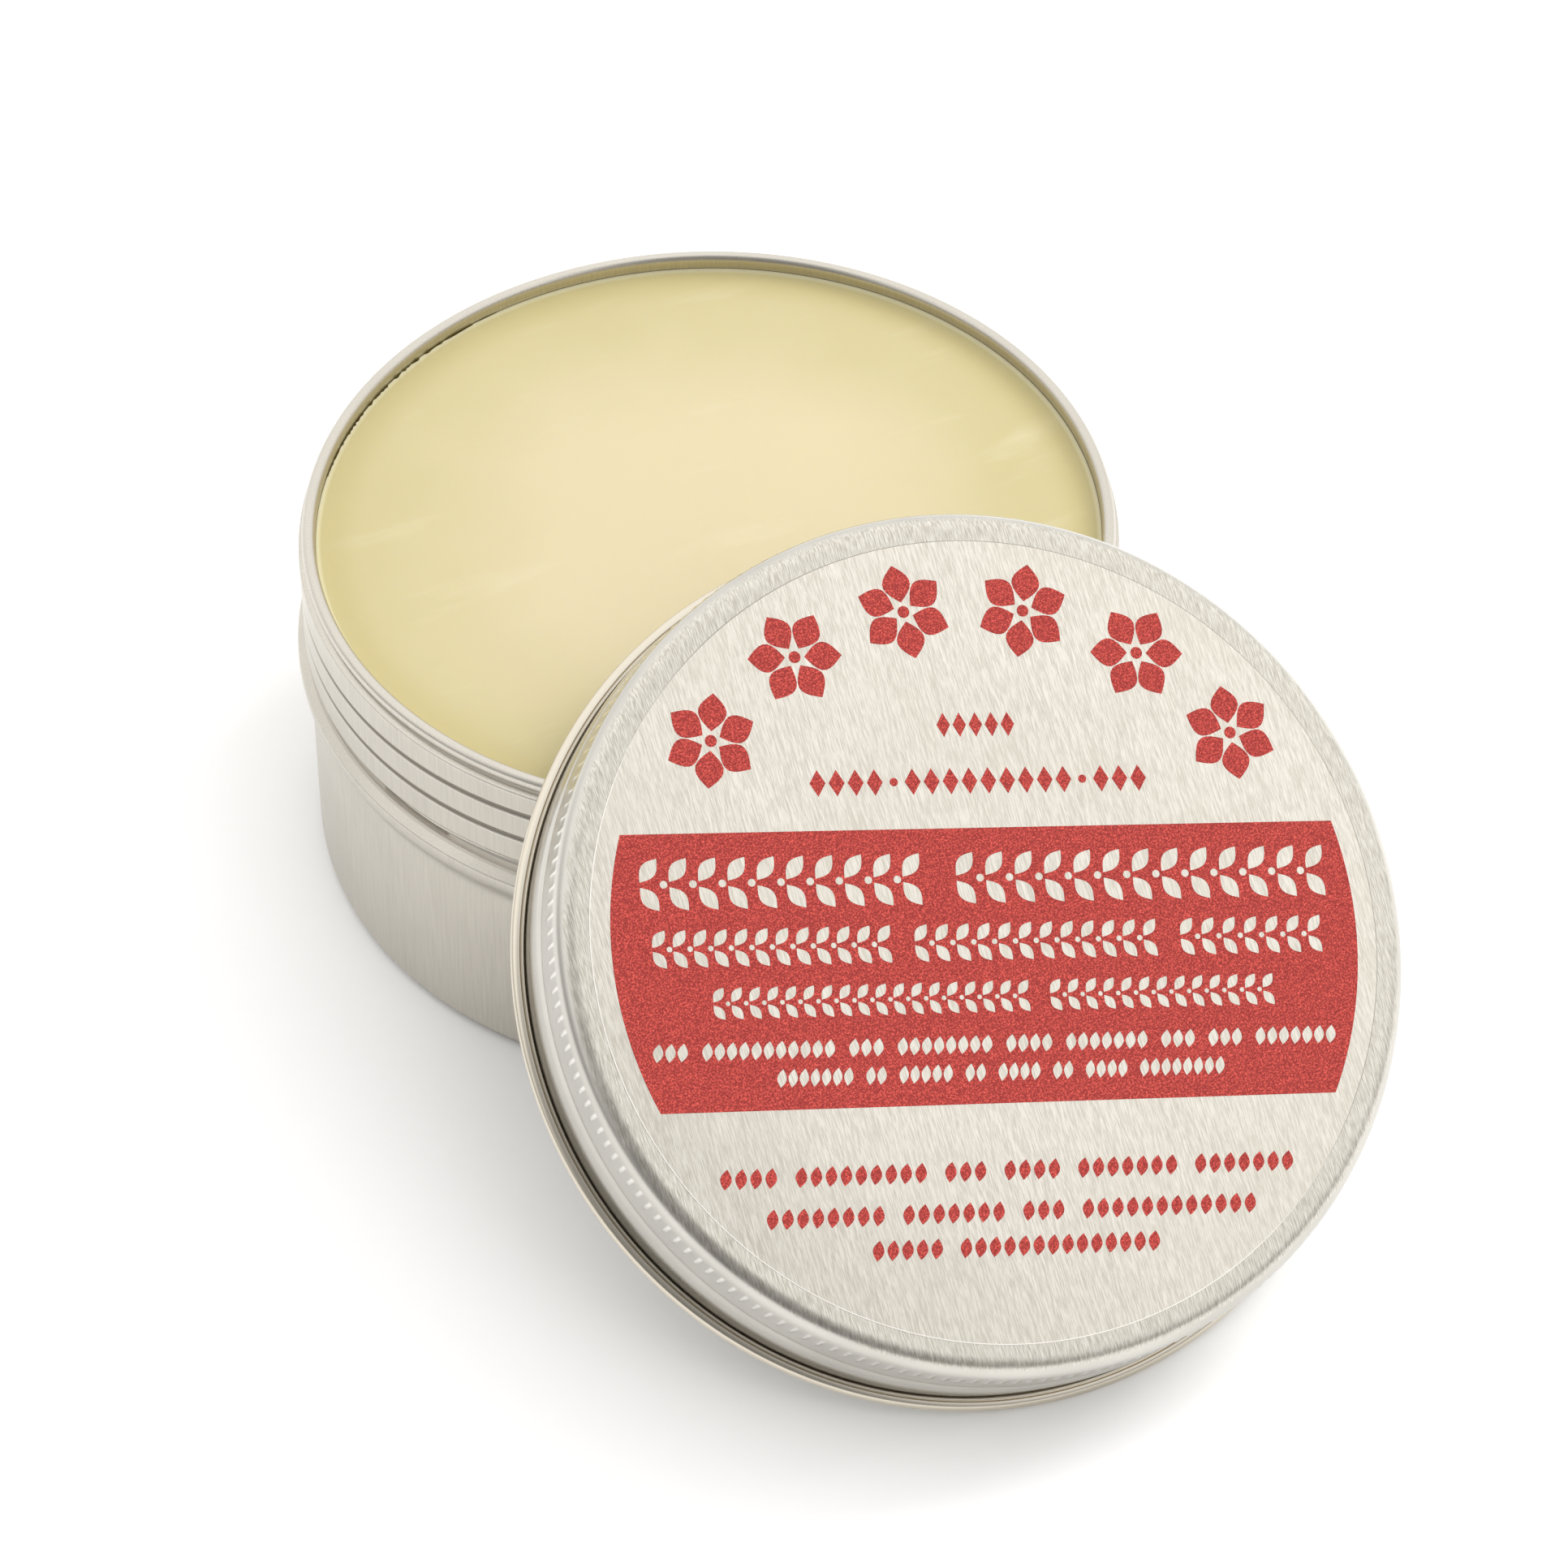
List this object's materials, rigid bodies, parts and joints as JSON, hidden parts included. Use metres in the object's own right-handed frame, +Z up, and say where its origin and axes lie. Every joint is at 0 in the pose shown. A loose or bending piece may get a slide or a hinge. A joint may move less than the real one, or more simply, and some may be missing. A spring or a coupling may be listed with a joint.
{
  "type": "screw-top polish tin",
  "caption": "Round aluminium screw-top tin filled with pale wax polish, with its knurled lid off and leaning against the side.",
  "frame": {"origin": "centre of the tin's flat base, on the surface it stands on", "axes": "+Z up along the tin's axis; the lid leans on the -Y side with its face turned to -Y and up; +X to the right of someone facing the lid"},
  "size_m": [0.0866, 0.137, 0.0593],
  "materials": {
    "tin_metal": "satin, drawn",
    "lid_metal": "brushed face, satin skirt",
    "wax": "soft wax, smooth cast surface",
    "liner_foam": "fine closed-cell foam",
    "label_film": "brushed metallised film",
    "label_ink": "red printed ink, satin, with a fine screen"
  },
  "bodies": {
    "tin": {"tin_body": "tin_metal", "wax": "wax"},
    "liner": {"lid_liner": "liner_foam"},
    "lid": {"lid_shell": "lid_metal", "lid_label": "label_film", "label_band": "label_ink"}
  },
  "joints": [
    {"name": "lid_swing", "type": "hinge", "parent": "tin", "child": "liner", "pos_m": [0, 0.03399, -0.04373], "axis": [-1, 0, 0], "range_deg": [0, 33.9]},
    {"name": "lid_turn", "type": "hinge", "parent": "liner", "child": "lid", "pos_m": [0, -0.061, 0.03669], "axis": [0, -0.5577, 0.83], "continuous": true}
  ]
}
